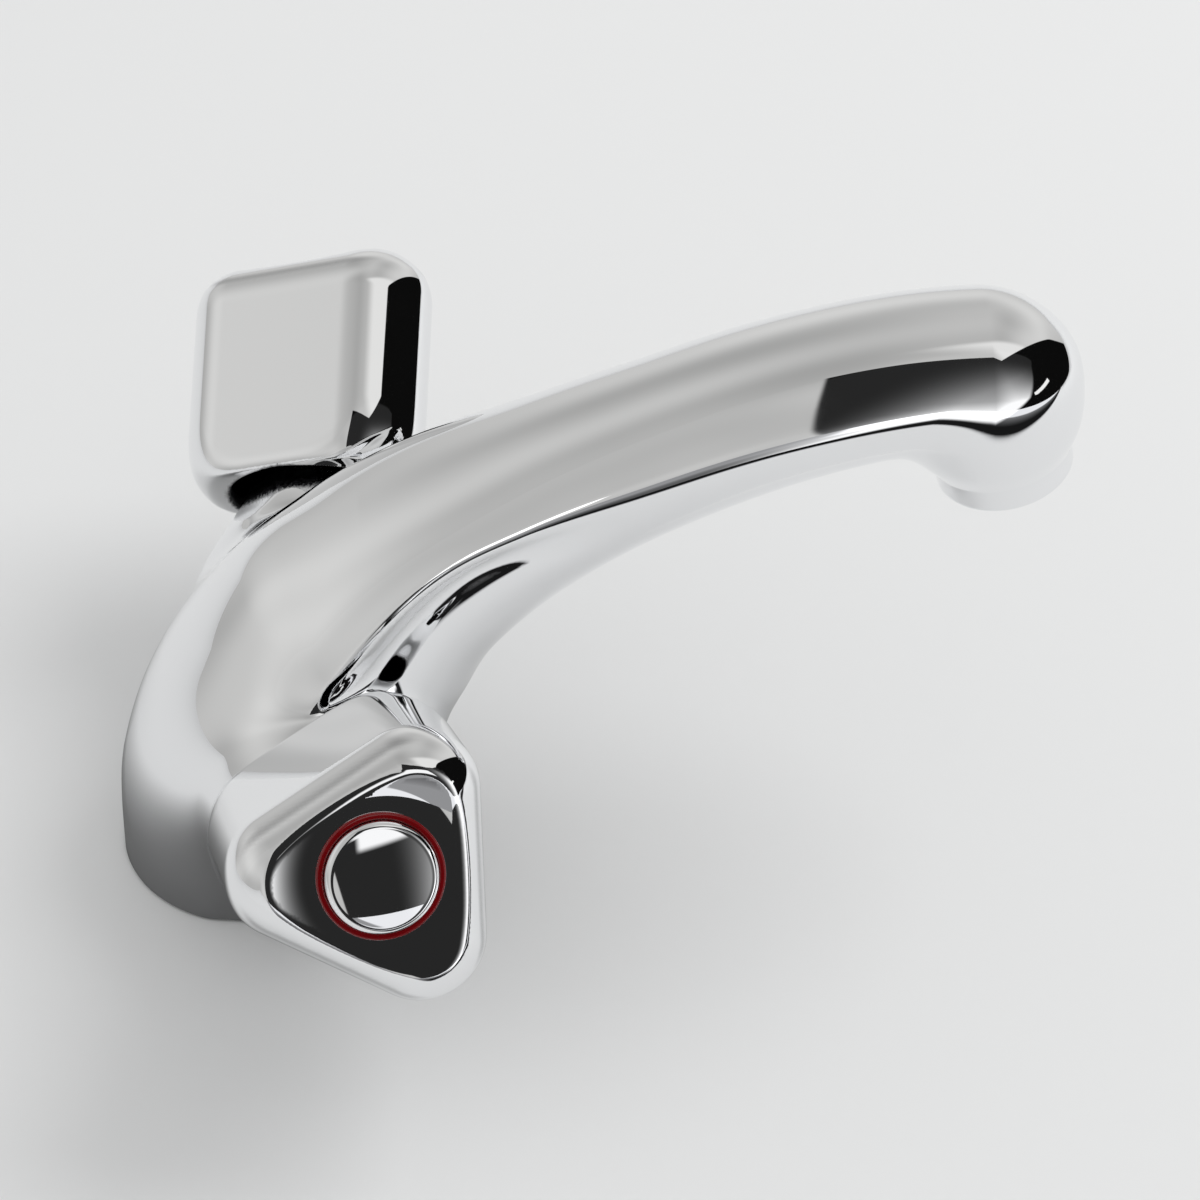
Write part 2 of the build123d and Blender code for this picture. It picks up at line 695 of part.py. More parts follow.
    # The domed cap, pushed into the middle of the dish
    cap_radius = ring_radius - ring_width - seat_gap
    with BuildPart() as cap:
        with BuildSketch(meridian_plane(side, dish_floor)):
            with BuildLine():
                Polyline((0, cap_dome - cap_wall), (0, cap_dome))
                dome = Spline((0, cap_dome), (cap_radius * 0.78, cap_dome * 0.8), (cap_radius, ring_proud))
                Polyline(
                    dome @ 1,
                    (cap_radius, -cap_skirt),
                    (cap_radius - cap_wall, -cap_skirt),
                    (cap_radius - cap_wall, ring_proud),
                    (0, cap_dome - cap_wall),
                )
            make_face()
        revolve(axis=valve_axis)
    finish(cap.part, f"{name}_cap")
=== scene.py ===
"""Two-handle basin mixer tap in polished chrome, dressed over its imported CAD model.

Metres, +Z up, the origin in the middle of the foot on the deck, the spout along -Y, hot on the -X side.
Shapes are worked out in millimetres, as the part's source has them, and divided by 1000 when their mesh is
made.
"""

import json

import bmesh
import bpy
import numpy as np
from mathutils import Matrix, Vector


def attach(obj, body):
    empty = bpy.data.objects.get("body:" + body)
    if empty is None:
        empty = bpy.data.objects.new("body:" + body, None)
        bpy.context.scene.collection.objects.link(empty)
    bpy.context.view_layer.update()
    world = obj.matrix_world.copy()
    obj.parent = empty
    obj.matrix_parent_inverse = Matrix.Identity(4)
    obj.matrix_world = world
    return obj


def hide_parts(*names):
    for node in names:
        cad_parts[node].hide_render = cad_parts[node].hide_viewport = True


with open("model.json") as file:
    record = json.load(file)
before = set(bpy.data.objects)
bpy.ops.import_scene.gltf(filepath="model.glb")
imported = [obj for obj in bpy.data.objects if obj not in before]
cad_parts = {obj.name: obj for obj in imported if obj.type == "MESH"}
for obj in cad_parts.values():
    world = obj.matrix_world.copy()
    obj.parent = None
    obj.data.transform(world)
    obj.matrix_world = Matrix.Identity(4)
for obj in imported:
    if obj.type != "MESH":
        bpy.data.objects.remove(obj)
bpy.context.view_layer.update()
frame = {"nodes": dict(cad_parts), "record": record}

scene = bpy.context.scene
scene.view_settings.view_transform = "Standard"

# Camera: a long lens from the hot handle's side, 41 degrees above the deck, as the photograph was taken.
camera_data = bpy.data.cameras.new("camera")
camera_data.sensor_width = 36.0
camera_data.lens = 5890 / 1200 * 36
camera_data.clip_end = 20
camera = bpy.data.objects.new("camera", camera_data)
scene.collection.objects.link(camera)
to_camera = Vector((-0.74958, 0.06385, 0.65883)).normalized()
image_right = Vector((-0.08293, -0.99655, 0.00248))
image_right = (image_right - to_camera * image_right.dot(to_camera)).normalized()
image_up = to_camera.cross(image_right)
looked_at = Vector((0.0, -0.0095, 0.0206))
camera_place = looked_at + 0.0583 * image_right + 0.0311 * image_up + 1.17642 * to_camera
turn = Matrix((image_right, image_up, to_camera)).transposed()
camera.matrix_world = Matrix.Translation(camera_place) @ turn.to_4x4()
scene.camera = camera

# Studio: a plain white table, one large soft lamp over the spout's far side, and a room of pale walls with a
# dark screen in front of the tap, which the chrome shows.
table_mesh = bpy.data.meshes.new("table")
table_mesh.from_pydata([(-4, -4, 0), (4, -4, 0), (4, 4, 0), (-4, 4, 0)], [], [(0, 1, 2, 3)])
table = bpy.data.objects.new("table", table_mesh)
scene.collection.objects.link(table)
table_finish = bpy.data.materials.new("white table")
table_finish.use_nodes = True
table_shader = table_finish.node_tree.nodes["Principled BSDF"]
table_shader.inputs["Base Color"].default_value = (0.80, 0.805, 0.805, 1)
table_shader.inputs["Roughness"].default_value = 0.55
table_shader.inputs["Specular IOR Level"].default_value = 0.0
table_mesh.materials.append(table_finish)

lamp_data = bpy.data.lights.new("soft lamp", "AREA")
lamp_data.shape = "DISK"
lamp_data.size = 1.3
lamp_data.energy = 12.0
lamp = bpy.data.objects.new("soft lamp", lamp_data)
lamp.location = (0.32, -1.15, 1.5)
lamp_aim = Vector((0, -0.05, 0.03))
lamp.rotation_euler = (lamp_aim - lamp.location).to_track_quat("-Z", "Y").to_euler()
lamp.visible_glossy = False
scene.collection.objects.link(lamp)

room = bpy.data.worlds.new("room")
scene.world = room
room.use_nodes = True
room_tree = room.node_tree
room_tree.nodes.clear()


def node(tree, kind, inputs=(), **settings):
    """Adds a node and sets its inputs by number or name. A socket given as a value is linked."""
    made = tree.nodes.new(kind)
    for name, value in settings.items():
        setattr(made, name, value)
    for key, value in dict(inputs).items():
        if isinstance(value, bpy.types.NodeSocket):
            tree.links.new(value, made.inputs[key])
        else:
            made.inputs[key].default_value = value
    return made


def sums(tree, operation, a, b=0.0, c=0.0):
    return node(tree, "ShaderNodeMath", {0: a, 1: b, 2: c}, operation=operation).outputs[0]


def product(tree, first, *others):
    for other in others:
        first = sums(tree, "MULTIPLY", first, other)
    return first


def between(tree, share, low, high):
    """The value low where the share is 0, and high where it is 1."""
    return node(tree, "ShaderNodeMix", {0: share, 2: low, 3: high}, data_type="FLOAT").outputs[0]


def step_up(tree, value, low, high):
    """0 below low, 1 above high, eased between."""
    given = {"Value": value, "From Min": low, "From Max": high}
    return node(tree, "ShaderNodeMapRange", given, interpolation_type="SMOOTHSTEP").outputs["Result"]


def plane_side(tree, axes, a, b, c, soft=0.006):
    """1 where a x + b y + c z is above 0, 0 where it is below."""
    total = sums(tree, "MULTIPLY_ADD", axes[1], b, sums(tree, "MULTIPLY", axes[2], c))
    return step_up(tree, sums(tree, "MULTIPLY_ADD", axes[0], a, total), -soft, soft)


# The dark screen and the bright bar on it, by the direction in which the chrome looks
direction = node(room_tree, "ShaderNodeTexCoord").outputs["Generated"]
axes = node(room_tree, "ShaderNodeSeparateXYZ", {0: direction}).outputs
screen_left = plane_side(room_tree, axes, -0.03, -1.0, 0.27)
screen_top = plane_side(room_tree, axes, -3.9, 1.5, -1.0, 0.015)
screen_right = plane_side(room_tree, axes, -1.471, -1.145, -1.0, 0.01)
dark_screen = product(room_tree, screen_left, sums(room_tree, "MAXIMUM", screen_top, screen_right))
bar_low, bar_high = step_up(room_tree, axes[2], 0.265, 0.275), step_up(room_tree, axes[2], 0.325, 0.315)
bar_start = plane_side(room_tree, axes, 0.829, -0.559, 0.0)
bar_end = plane_side(room_tree, axes, -0.985, 0.174, 0.0)
bar = product(room_tree, bar_low, bar_high, bar_start, bar_end)
# The walls, uneven in brightness, with an evenly lit part high up in front
glare_start = plane_side(room_tree, axes, 0.707, -0.707, 0.0, 0.1)
glare_end = plane_side(room_tree, axes, -0.996, -0.087, 0.0, 0.05)
glare = product(room_tree, glare_start, glare_end, step_up(room_tree, axes[2], 0.69, 0.75))
unevenness = node(room_tree, "ShaderNodeTexNoise", {"Vector": direction, "Scale": 1.7, "Detail": 0.0})
wall_level = sums(room_tree, "MULTIPLY_ADD", unevenness.outputs["Fac"], 0.5, 0.33)
level = between(room_tree, glare, wall_level, 0.85)
level = product(room_tree, level, sums(room_tree, "SUBTRACT", 1.0, dark_screen))
screen_level = 0.004
level = sums(room_tree, "MAXIMUM", sums(room_tree, "ADD", level, screen_level), bar)
grey = node(room_tree, "ShaderNodeCombineColor", {0: level, 1: level, 2: level}).outputs[0]
warm_white = (1.0, 0.995, 0.975, 1)
walls = node(room_tree, "ShaderNodeMix", {0: 1.0, 6: grey, 7: warm_white}, data_type="RGBA",
             blend_type="MULTIPLY")
room_light = (0.745, 0.745, 0.745, 1)
glossy = node(room_tree, "ShaderNodeLightPath").outputs["Is Glossy Ray"]
seen = node(room_tree, "ShaderNodeMix", {0: glossy, 6: room_light, 7: walls.outputs[2]}, data_type="RGBA")
glow = node(room_tree, "ShaderNodeBackground", {"Color": seen.outputs[2], "Strength": 1.0})
node(room_tree, "ShaderNodeOutputWorld", {"Surface": glow.outputs[0]})


def own_place(tree):
    """The x, y and z of the point that is shaded."""
    here = node(tree, "ShaderNodeTexCoord").outputs["Object"]
    return node(tree, "ShaderNodeSeparateXYZ", {0: here}).outputs


# The table as the chrome shows it, painted as a glow for glossy rays: painted shade where the screen stands
# on it, brighter again far out at its right end, and painted black shade close round the foot
table_tree = table_finish.node_tree
ground = own_place(table_tree)
screen_edge = sums(table_tree, "MULTIPLY_ADD", ground[0], 0.22, ground[1])
screen_foot = product(table_tree, step_up(table_tree, ground[0], -0.14, -0.17),
                      step_up(table_tree, screen_edge, -0.063, -0.083))
fading = node(table_tree, "ShaderNodeMapRange",
              {"Value": ground[0], "From Min": -0.22, "From Max": -0.5, "To Min": 0.01,
               "To Max": 0.3}).outputs[0]
bright_end = product(table_tree, step_up(table_tree, ground[0], -0.4, -0.46),
                     step_up(table_tree, ground[1], -0.115, -0.14), 0.62)
fading = sums(table_tree, "ADD", fading, bright_end)
painted_glow_level = between(table_tree, screen_foot, 0.70, fading)
# Painted glow: near the screen, glossy rays see this emission in place of the lit and shaded table
painted_table_glow = node(table_tree, "ShaderNodeEmission", {"Color": (1.0, 1.005, 1.03, 1), "Strength": painted_glow_level})
glossy = node(table_tree, "ShaderNodeLightPath").outputs["Is Glossy Ray"]
lit_or_painted_glow = node(table_tree, "ShaderNodeMixShader",
                       {0: product(table_tree, glossy, screen_foot), 1: table_shader.outputs[0],
                        2: painted_table_glow.outputs[0]})
squares = [product(table_tree, axis, axis) for axis in ground[:2]]
from_foot = sums(table_tree, "SQRT", sums(table_tree, "ADD", *squares))
# Painted shade: glossy rays see black close round the foot
painted_foot_shade = product(table_tree, glossy, step_up(table_tree, from_foot, 0.085, 0.027), 0.72)
painted_black_shade = node(table_tree, "ShaderNodeEmission", {"Strength": 0.0})
shaded = node(table_tree, "ShaderNodeMixShader",
              {0: painted_foot_shade, 1: lit_or_painted_glow.outputs[0], 2: painted_black_shade.outputs[0]})
table_tree.links.new(shaded.outputs[0], table_tree.nodes["Material Output"].inputs["Surface"])

# Light card: a soft reflector between the tap and the screen, brightest low and to the right, which only the
# chrome shows.


def hung_card(name, x, near, far, low, high):
    """An upright card across the X axis that only the chrome shows, and the empty tree of its material."""
    mesh = bpy.data.meshes.new(name)
    mesh.from_pydata([(x, near, low), (x, far, low), (x, far, high), (x, near, high)], [], [(0, 1, 2, 3)])
    card = bpy.data.objects.new(name, mesh)
    scene.collection.objects.link(card)
    card.visible_camera = card.visible_diffuse = card.visible_shadow = card.visible_transmission = False
    finish = bpy.data.materials.new(name)
    finish.use_nodes = True
    finish.node_tree.nodes.clear()
    mesh.materials.append(finish)
    return finish.node_tree


def glow_alone(tree, strength):
    """Ends a tree in a clear card that glows by the given strength."""
    light = node(tree, "ShaderNodeEmission", {"Color": (1, 1, 1, 1), "Strength": strength})
    clear = node(tree, "ShaderNodeBsdfTransparent")
    added = node(tree, "ShaderNodeAddShader", {0: light.outputs[0], 1: clear.outputs[0]})
    node(tree, "ShaderNodeOutputMaterial", {"Surface": added.outputs[0]})


card_tree = hung_card("light card", -0.22, -1.4, 0.5, 0, 1.4)
spot = own_place(card_tree)
card_fall = 0.085
fall = sums(card_tree, "EXPONENT", sums(card_tree, "MULTIPLY", spot[2], -1 / card_fall))
to_right = sums(card_tree, "POWER", step_up(card_tree, spot[1], -0.065, -0.29), 1.2)
strength = sums(card_tree, "MINIMUM", product(card_tree, fall, to_right, 10.0), 1.1)
strength = sums(card_tree, "ADD", strength, 0.018)
slant = sums(card_tree, "MULTIPLY_ADD", spot[2], 1.2, spot[1])
edges = product(card_tree, step_up(card_tree, slant, -0.15, -0.11), step_up(card_tree, spot[2], 1.4, 1.2))
glow_alone(card_tree, product(card_tree, strength, edges))

# Small window: a second, bright card close to the hot handle, mirrored at the top of its cap. Its lower edge
# slants, and all four edges fade out.
pane = hung_card("window", -0.12, -0.048, -0.017, 0.09, 0.126)
spot = own_place(pane)
sill = sums(pane, "MULTIPLY_ADD", spot[1], 0.25, spot[2])
soft = product(pane, step_up(pane, spot[1], -0.048, -0.045), step_up(pane, spot[1], -0.017, -0.0205),
               step_up(pane, sill, 0.0875, 0.0915), step_up(pane, spot[2], 0.126, 0.1235))
glow_alone(pane, product(pane, soft, 1.05))

# Casting: brass body, foot, necks and spout cast in one, polished and chrome plated. Its skin is worked out
# as a level surface: a column and two flared necks flow into a spout whose broad top sheet stands over a
# slimmer keel.
meeting = np.array((0.0, -9.5, 20.6))
rise, lean = np.radians(29.5), np.radians(6.2)
neck_axis = np.array((np.cos(rise) * np.cos(lean), -np.sin(lean), np.sin(rise) * np.cos(lean)))
neck_back = np.array((0.0, 1.0, 0.0)) - neck_axis * neck_axis[1]
neck_back /= np.linalg.norm(neck_back)
neck_up = np.cross(neck_axis, neck_back)
neck_radius, neck_end = 17.0, 60.0
outlet = np.array((0.0, -146.6, 87.0))
outlet_axis = np.array((0.0, np.sin(np.radians(12)), np.cos(np.radians(12))))
ring_height = 6.0

# (y, z) of the back and top line, and of the front and under line, in side view
back_line = ((26, 0), (25.3, 13), (22.5, 28), (17, 44), (9.5, 57), (0, 69), (-12, 80), (-25, 88.6),
             (-40, 96.3), (-55, 103), (-70, 109), (-90, 116.6), (-110, 122.4), (-128, 125.6), (-141, 126.3))
front_line = ((-26, 0), (-28.5, 12), (-33, 25), (-38, 38), (-43.5, 48.5), (-51, 58), (-60, 66.3), (-70, 73.6),
              (-80, 79.4), (-90, 84.2), (-100, 88.3), (-110, 91.8), (-122, 95), (-141, 98))
# (half width, y, z) of the turned-over edge of the top sheet
edge_line = ((21, 12, 0), (21.5, 11, 20), (24, 6, 38), (27.5, -3, 51), (28.8, -11.5, 60), (26.6, -19.8, 70.1),
             (23.3, -29.8, 79.9), (21.2, -39.8, 86.6), (20.1, -50, 91), (19.3, -60, 94.8), (18.8, -70, 98.3),
             (18.5, -80, 101.6), (18.5, -90, 105), (18.5, -100, 108), (18.4, -110, 110.4),
             (18.2, -120, 112.3), (17.9, -130, 113.5), (17.5, -141, 113.8))
# All three lines are read by their angle about one point in front of the column
pivot = np.array((-135.0, -10.0))
last_angle = 92.8


def smooth_curve(places, values):
    """A natural cubic spline through the values, straight beyond its ends."""
    order = np.argsort(places)
    t, v = np.asarray(places, float)[order], np.asarray(values, float)[order]
    h = np.diff(t)
    rows, sides = np.eye(len(t)), np.zeros(len(t))
    for i in range(1, len(t) - 1):
        rows[i, i - 1 : i + 2] = h[i - 1], 2 * (h[i - 1] + h[i]), h[i]
        sides[i] = 6 * ((v[i + 1] - v[i]) / h[i] - (v[i] - v[i - 1]) / h[i - 1])
    bend = np.linalg.solve(rows, sides)
    first = (v[1] - v[0]) / h[0] - h[0] * bend[1] / 6
    last = (v[-1] - v[-2]) / h[-1] + h[-1] * bend[-2] / 6

    def curve(at):
        inside = np.clip(at, t[0], t[-1])
        i = np.clip(np.searchsorted(t, inside) - 1, 0, len(t) - 2)
        a, b, w = t[i + 1] - inside, inside - t[i], h[i]
        value = (bend[i] * a**3 + bend[i + 1] * b**3) / (6 * w)
        value += (v[i] / w - bend[i] * w / 6) * a + (v[i + 1] / w - bend[i + 1] * w / 6) * b
        return value + np.minimum(at - t[0], 0) * first + np.maximum(at - t[-1], 0) * last

    return curve


def about_pivot(y, z):
    return np.degrees(np.arctan2(z - pivot[1], y - pivot[0])), np.hypot(y - pivot[0], z - pivot[1])


def line_curve(points):
    angles, reaches = about_pivot(*np.array(points, float)[:, -2:].T)
    return smooth_curve(angles, reaches), angles


back_at, _ = line_curve(back_line)
front_at, _ = line_curve(front_line)
edge_at, edge_angles = line_curve(edge_line)
width_at = smooth_curve(edge_angles, [point[0] for point in edge_line])
# At each angle: the keel's half width, how far its middle lies under the edge, and the slope of the underside
# of the sheet
keel_rows = ((10, 22, 16, 50), (20, 22, 15, 50), (30, 21.5, 13.5, 50), (40, 20.2, 11, 54),
             (50, 18.4, 7.5, 60), (60, 17.2, 4.4, 64), (75, 16.6, 2.0, 66), (93, 16.5, 2.0, 66))
keel_width_at, keel_drop_at, keel_slope_at = (
    smooth_curve([row[0] for row in keel_rows], [row[i] for row in keel_rows]) for i in (1, 2, 3)
)
# The column's half width is by that angle too, and the two of the neck by the distance from the axes' meeting
column_width_at = smooth_curve((0, 6, 14, 20, 26, 32, 40, 60, 93), (26, 26, 26.3, 26.3, 25.5, 22, 16, 10, 8))
neck_thickness_at = smooth_curve((0, 20, 33, 46, 52, 60), (5, 3.6, 2.2, 0.2, -1.2, -1.6))
neck_flare_at = smooth_curve((0, 10, 20, 30, 40, 50, 60), (12, 10.7, 8.8, 6.5, 4.2, 1.0, 0))
# The head's radius is by its height over the outlet. The fillets are where two forms flow together
head_width_at = smooth_curve((0, 6, 10, 16, 24, 32), (12.5, 14.4, 16.4, 17.6, 17.4, 16.0))
keel_fillet, neck_fillet, head_fillet = 5.0, 9.0, 7.0


def oval(x, y, a, b):
    reach = np.hypot(x / a, y / b)
    return (reach - 1) * reach / np.maximum(np.hypot(x / a**2, y / b**2), 1e-6)


def blend_in(a, b, k):
    """The union of two bodies, with a fillet about k wide."""
    near = np.maximum(k - np.abs(a - b), 0) / k
    return np.minimum(a, b) - near * near * k / 4


def cut_to(a, b, k):
    """What two bodies share, with its edge rounded about k wide."""
    return -blend_in(-a, -b, k)


def eased(value, low, high):
    t = np.clip((value - low) / (high - low), 0, 1)
    return t * t * (3 - 2 * t)


def casting_field(p):
    """Roughly the distance in mm from the casting's skin, negative inside."""
    x, y, z = np.abs(p[:, 0]), p[:, 1], p[:, 2]
    angle, reach = about_pivot(y, z)
    over = np.radians(np.clip(angle - last_angle, 0, 90))
    station = np.minimum(angle, last_angle)
    across, along = np.hypot(x, reach * np.sin(over)), reach * np.cos(over)
    back, front, edge, width = back_at(station), front_at(station), edge_at(station), width_at(station)

    turned_over = np.radians(20)
    arch_height = (back - edge) / (1 - np.sin(turned_over))
    arch = oval(across, along - back + arch_height, width / np.cos(turned_over), arch_height)
    slope = np.radians(keel_slope_at(station))
    underside = (across - width) * np.sin(slope) - (along - edge) * np.cos(slope)
    keel_middle = edge - keel_drop_at(station)
    edge_round = 1.8 + 0.8 * eased(station, 40, 60)
    sheet = np.maximum(cut_to(arch, underside, edge_round), keel_middle - 4 - along)
    above = np.minimum(keel_middle - front, back - keel_middle - 2)
    keel_depth = np.where(along > keel_middle, above, keel_middle - front)
    keel = oval(across, along - keel_middle, keel_width_at(station), keel_depth)
    column_depth = (back - front) / 2 - 6 * eased(station, 30, 40)
    column = oval(across, along - (back + front) / 2, column_width_at(station), column_depth)
    lower = blend_in(keel, column, keel_fillet)

    from_meeting = np.stack((x, y, z), 1) - meeting
    out, behind, up = from_meeting @ neck_axis, from_meeting @ neck_back, from_meeting @ neck_up
    radius = np.hypot(behind, up)
    place = np.clip(out, 0, neck_end)
    facing_back = (1 + behind / np.maximum(radius, 1e-6)) / 2
    neck = radius - neck_radius - neck_thickness_at(place) - neck_flare_at(place) * facing_back**2.5
    neck = np.maximum(cut_to(neck, -out - 5, 6.0), out - neck_end - 2)
    lower = blend_in(lower, neck, neck_fillet)
    crease = 1.8 + 2.2 * eased(station, 44, 60) + 6 * eased(y, -28, 2)
    body = blend_in(sheet, lower, crease)

    from_outlet = np.stack((y, z), 1) - outlet[1:]
    height = from_outlet @ outlet_axis[1:]
    off_axis = np.hypot(x, from_outlet[:, 0] * outlet_axis[2] - from_outlet[:, 1] * outlet_axis[1])
    head = cut_to(off_axis - head_width_at(np.clip(height, 0, 32)), height - 26, 12.0)
    body = blend_in(body, head, head_fillet)
    body = np.where(y < -128, np.maximum(body, ring_height - 2 - height), body)
    return np.maximum(body, -2 - z)


def skin(field, low, high, pitch):
    """A field's level surface as quads: one point in each grid cell it crosses, moved onto the surface."""
    low, high = np.array(low, float), np.array(high, float)
    coarse = 4
    blocks = np.ceil((high - low) / pitch / coarse).astype(int)
    size = blocks * coarse + 1
    corner = np.stack(np.meshgrid(*(np.arange(n + 1) for n in blocks), indexing="ij"), -1).reshape(-1, 3)
    rough = field(low + corner * pitch * coarse).reshape(blocks + 1)
    near = np.abs(rough) < pitch * coarse * 2.5
    block = np.zeros(blocks, bool)
    shifts = [(i, j, k) for i in (0, 1) for j in (0, 1) for k in (0, 1)]
    for i, j, k in shifts:
        block |= near[i : i + blocks[0], j : j + blocks[1], k : k + blocks[2]]
    fine = np.zeros(size, bool)
    fine[:-1, :-1, :-1] = np.kron(block, np.ones((coarse,) * 3, bool))
    for axis in range(3):
        fine |= np.roll(fine, 1, axis)
    places = np.argwhere(fine)
    values = np.full(size, 9.0)
    filled = rough < 0
    for axis in range(3):
        filled = np.repeat(filled, coarse, axis)
    values[filled[: size[0], : size[1], : size[2]]] = -9.0
    values[tuple(places.T)] = np.concatenate(
        [field(low + places[i : i + 200000] * pitch) for i in range(0, len(places), 200000)]
    )
    inside = values < 0
    last = size - 1
    count = sum(
        inside[i : last[0] + i, j : last[1] + j, k : last[2] + k].astype(np.int8) for i, j, k in shifts
    )
    crossed = (count > 0) & (count < 8)
    cells = np.argwhere(crossed)
    number = np.full(crossed.shape, -1)
    number[crossed] = np.arange(len(cells))
    total, hits = np.zeros((len(cells), 3)), np.zeros(len(cells))
    for start in np.array(shifts):
        for axis in np.flatnonzero(start == 0):
            end = start + np.eye(3, dtype=int)[axis]
            a, b = values[tuple((cells + start).T)], values[tuple((cells + end).T)]
            crossing = (a < 0) != (b < 0)
            share = np.where(crossing, a / np.where(crossing, a - b, 1), 0)
            total += np.where(crossing[:, None], cells + start + np.outer(share, end - start), 0)
            hits += crossing
    points = low + total / hits[:, None] * pitch
    faces = []
    for axis in range(3):
        second, third = (axis + 1) % 3, (axis + 2) % 3
        ahead = np.roll(inside, -1, axis)
        change = inside != ahead
        change[tuple(slice(-1, None) if i == axis else slice(None) for i in range(3))] = False
        edges = np.argwhere(change)
        ring = []
        for back_second, back_third in ((0, 0), (1, 0), (1, 1), (0, 1)):
            cell = edges.copy()
            cell[:, second] -= back_second
            cell[:, third] -= back_third
            ring.append(number[tuple(cell.T)])
        ring = np.stack(ring, 1)
        outward = inside[tuple(edges.T)]
        ring[~outward] = ring[~outward][:, ::-1]
        faces.append(ring)
    for _ in range(4):
        grade = slope_of(field, points)
        points = points - grade * (field(points) / np.maximum((grade**2).sum(1), 0.1))[:, None]
    return points, np.concatenate(faces)


def slope_of(field, points, apart=0.04):
    steps = np.eye(3) * apart
    return np.stack([field(points + s) - field(points - s) for s in steps], 1) / (2 * apart)


def mesh_object(name, points, faces):
    """A piece from points in millimetres."""
    mesh = bpy.data.meshes.new(name)
    mesh.from_pydata((np.array(points) / 1000).tolist(), [], [tuple(face) for face in faces])
    piece = bpy.data.objects.new(name, mesh)
    scene.collection.objects.link(piece)
    return piece


def turned(profile, origin, axis, segments=96):
    """Points and faces of a (radius, height) profile turned about an axis, with poles or as a ring."""
    axis = np.array(axis, float) / np.linalg.norm(axis)
    across = np.cross(axis, (0.0, 1.0, 0.0) if abs(axis[1]) < 0.9 else (1.0, 0.0, 0.0))
    across /= np.linalg.norm(across)
    third = np.cross(axis, across)
    ring_of = {}
    points, faces = [], []
    for i, (radius, height) in enumerate(profile):
        centre = np.array(origin, float) + axis * height
        ring_of[i] = []
        for s in range(segments if radius > 1e-6 else 1):
            a = 2 * np.pi * s / segments
            ring_of[i].append(len(points))
            points.append(centre + radius * (np.cos(a) * across + np.sin(a) * third))
    closed = profile[0][0] > 1e-6
    pairs = [(i, i + 1) for i in range(len(profile) - 1)] + ([(len(profile) - 1, 0)] if closed else [])
    for i, j in pairs:
        a, b = ring_of[i], ring_of[j]
        for s in range(segments):
            t = (s + 1) % segments
            if len(a) == 1:
                faces.append((a[0], b[t], b[s]))
            elif len(b) == 1:
                faces.append((a[s], a[t], b[0]))
            else:
                faces.append((a[s], a[t], b[t], b[s]))
    return points, faces


def recalculated(piece):
    """Turns a closed shell's faces outwards."""
    shell = bmesh.new()
    shell.from_mesh(piece.data)
    bmesh.ops.recalc_face_normals(shell, faces=shell.faces)
    shell.to_mesh(piece.data)
    shell.free()
    return piece


def joined_shells(name, shells):
    points, faces = [], []
    for shell_points, shell_faces in shells:
        faces += [tuple(i + len(points) for i in face) for face in shell_faces]
        points += list(shell_points)
    return recalculated(mesh_object(name, points, faces))


def cut(piece, tool):
    """Takes the tool's closed shells out of a piece, and removes the tool."""
    boolean = piece.modifiers.new("cut", "BOOLEAN")
    boolean.operation, boolean.solver, boolean.object = "DIFFERENCE", "EXACT", tool
    tree = bpy.context.evaluated_depsgraph_get()
    result = bpy.data.meshes.new_from_object(piece.evaluated_get(tree))
    old = piece.data
    piece.modifiers.remove(boolean)
    piece.data = result
    bpy.data.meshes.remove(old)
    bpy.data.objects.remove(tool)


def points_of(mesh):
    """A mesh's points in millimetres."""
    points = np.zeros(len(mesh.vertices) * 3)
    mesh.vertices.foreach_get("co", points)
    return points.reshape(-1, 3) * 1000


def shade_by_field(piece, field, sharp=35):
    """Smooth shading that takes its normals from the field where the skin is, and from the faces in cuts."""
    mesh = piece.data
    mesh.shade_smooth()
    mesh.set_sharp_from_angle(angle=np.radians(sharp))
    corners = np.zeros(len(mesh.corner_normals) * 3)
    mesh.corner_normals.foreach_get("vector", corners)
    corners = corners.reshape(-1, 3)
    points = points_of(mesh)
    at = np.zeros(len(mesh.loops), np.int32)
    mesh.loops.foreach_get("vertex_index", at)
    grade = slope_of(field, points)
    grade /= np.maximum(np.linalg.norm(grade, axis=1), 1e-9)[:, None]
    on_skin = np.abs(field(points)) < 0.02
    use = on_skin[at] & ((grade[at] * corners).sum(1) > 0.9)
    corners[use] = grade[at][use]
    mesh.normals_split_custom_set(corners.tolist())


casting_pitch = 0.88
points, faces = skin(casting_field, (-64, -168, -4), (64, 32, 130), casting_pitch)
casting = mesh_object("casting", points, faces)
neck_axes = {-1: neck_axis * (-1, 1, 1), 1: neck_axis}
foot_tool = [(0, -6), (40, -6), (40, 0.5), (25.2, 0.5), (25.2, 2.5), (22.2, 2.5), (22.2, 0.5), (20.5, 0.5),
             (20.5, 12), (0, 12)]
neck_tool = [(0, 36.2), (9.05, 36.2), (9.05, neck_end), (30, neck_end), (30, neck_end + 6), (0, neck_end + 6)]
mouth_tool = [(0, 26), (12.05, 26), (12.05, ring_height), (30, ring_height), (30, -2), (0, -2)]
shells = [turned(foot_tool, (0, 0, 0), (0, 0, 1)), turned(mouth_tool, outlet, outlet_axis)]
shells += [turned(neck_tool, meeting, axis) for axis in neck_axes.values()]
cut(casting, joined_shells("first tool", shells))
hose_inlets = [((side * 10, -9.5, 11), 4.5, 10.5) for side in neck_axes]
stud_hole = ((0, 12, 11), 4.05, 15)
shells = [turned([(0, 0), (r, 0), (r, depth), (0, depth)], place, (0, 0, 1), 48)
          for place, r, depth in (*hose_inlets, stud_hole)]
cut(casting, joined_shells("second tool", shells))
shade_by_field(casting, casting_field)

